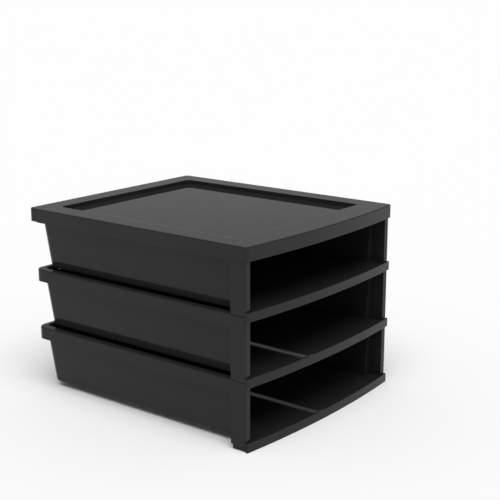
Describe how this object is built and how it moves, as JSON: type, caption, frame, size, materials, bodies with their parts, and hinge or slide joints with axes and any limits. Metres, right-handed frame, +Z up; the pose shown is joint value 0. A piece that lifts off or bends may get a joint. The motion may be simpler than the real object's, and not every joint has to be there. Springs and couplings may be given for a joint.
{
  "type": "paper sorter rack",
  "caption": "Stacking desk sorter of open-front letter trays with skirted rims, socketed corner posts and bowed front lips, under a cap lid with a sunken panel.",
  "frame": {"origin": "middle of the footprint, on the desk under the feet and the front lip of the bottom tray", "axes": "+X to the right seen from the open front, +Y to the back wall, +Z up"},
  "size_m": [0.268, 0.3182, 0.2128],
  "materials": {
    "black_plastic": "glossy black moulded plastic"
  },
  "bodies": {
    "tray_bottom": {"tray_bottom": "black_plastic"},
    "tray_middle": {"tray_middle": "black_plastic"},
    "tray_top": {"tray_top": "black_plastic"},
    "lid": {"lid": "black_plastic"}
  },
  "joints": [
    {"name": "tray_middle_lift", "type": "slide", "parent": "tray_bottom", "child": "tray_middle", "axis": [0, 0, 1], "range_m": [0, 0.061]},
    {"name": "tray_top_lift", "type": "slide", "parent": "tray_middle", "child": "tray_top", "axis": [0, 0, 1], "range_m": [0, 0.04]},
    {"name": "lid_lift", "type": "slide", "parent": "tray_top", "child": "lid", "axis": [0, 0, 1], "range_m": [0, 0.062]}
  ]
}
